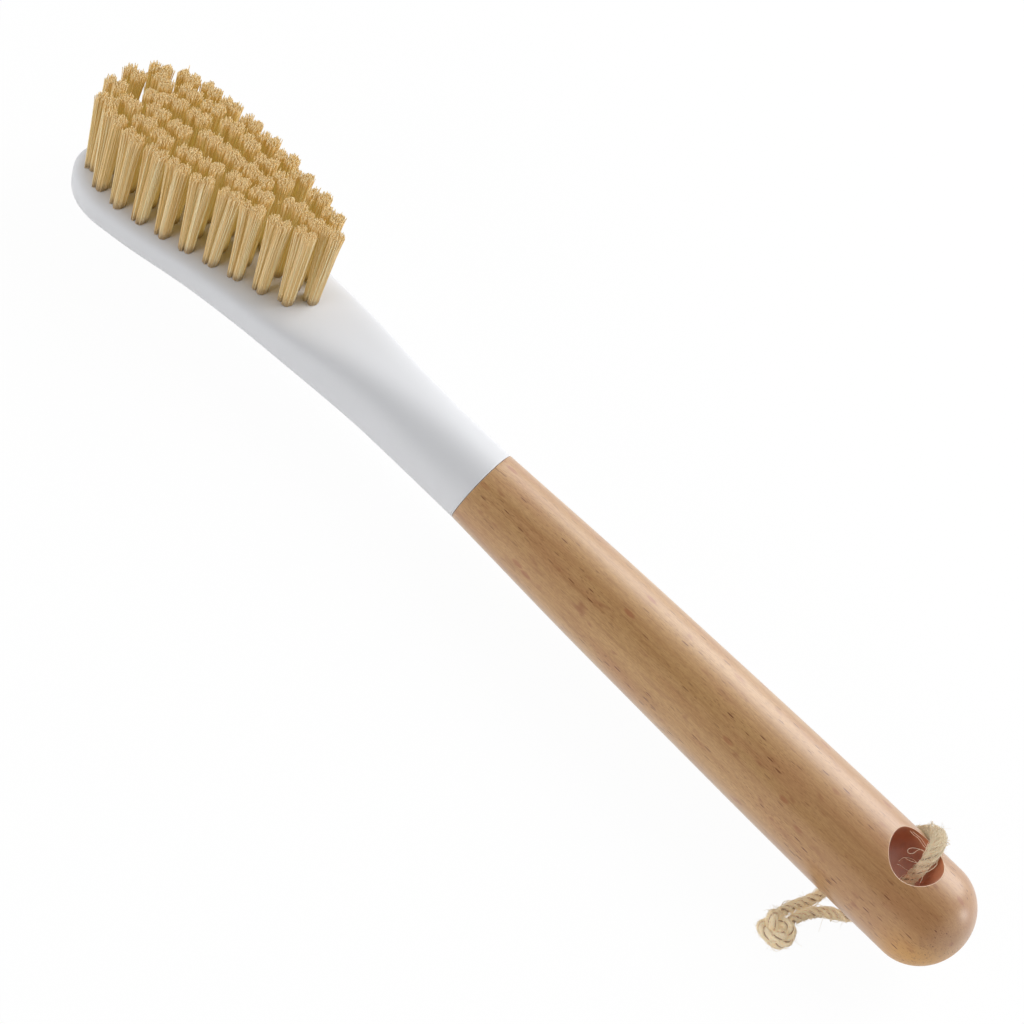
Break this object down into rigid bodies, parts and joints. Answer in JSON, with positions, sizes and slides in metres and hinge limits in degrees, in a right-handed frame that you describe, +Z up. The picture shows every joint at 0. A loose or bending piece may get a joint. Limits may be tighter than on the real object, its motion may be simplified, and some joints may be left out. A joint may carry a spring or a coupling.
{
  "type": "laundry stain brush",
  "caption": "Long-handled laundry stain brush: a turned beech handle with a hanging loop, a white paddle head bent back from its neck, and upright bristle tufts on its face.",
  "frame": {"origin": "bottom centre of the brush's bounding box without the twine, on the table that the brush lies on, bristles up", "axes": "+X along the brush from the head's tip to the handle's butt, +Z up out of the table on the bristle side, +Y across, so that the knot lies on the -Y side"},
  "size_m": [0.2492, 0.0393, 0.037],
  "materials": {
    "beech": "oiled beech, satin",
    "white_satin": "white, satin",
    "bristle": "golden stiff fibre",
    "jute": "light tan laid twine"
  },
  "bodies": {
    "root": {"handle": "beech", "head": "white_satin", "tuft_01": "bristle", "tuft_02": "bristle", "tuft_03": "bristle", "tuft_04": "bristle", "tuft_05": "bristle", "tuft_06": "bristle", "tuft_07": "bristle", "tuft_08": "bristle", "tuft_09": "bristle", "tuft_10": "bristle", "tuft_11": "bristle", "tuft_12": "bristle", "tuft_13": "bristle", "tuft_14": "bristle", "tuft_15": "bristle", "tuft_16": "bristle", "tuft_17": "bristle", "tuft_18": "bristle", "tuft_19": "bristle", "tuft_20": "bristle", "tuft_21": "bristle", "tuft_22": "bristle", "tuft_23": "bristle", "tuft_24": "bristle", "tuft_25": "bristle", "tuft_26": "bristle", "tuft_27": "bristle", "tuft_28": "bristle", "tuft_29": "bristle", "tuft_30": "bristle", "tuft_31": "bristle", "tuft_32": "bristle", "tuft_33": "bristle", "tuft_34": "bristle", "tuft_35": "bristle", "tuft_36": "bristle", "tuft_37": "bristle", "tuft_38": "bristle", "tuft_39": "bristle", "tuft_40": "bristle", "tuft_41": "bristle", "tuft_42": "bristle", "tuft_43": "bristle", "tuft_44": "bristle", "tuft_45": "bristle", "tuft_46": "bristle", "tuft_47": "bristle", "tuft_48": "bristle", "twine_loop": "jute", "twine_knot": "jute"}
  },
  "joints": []
}
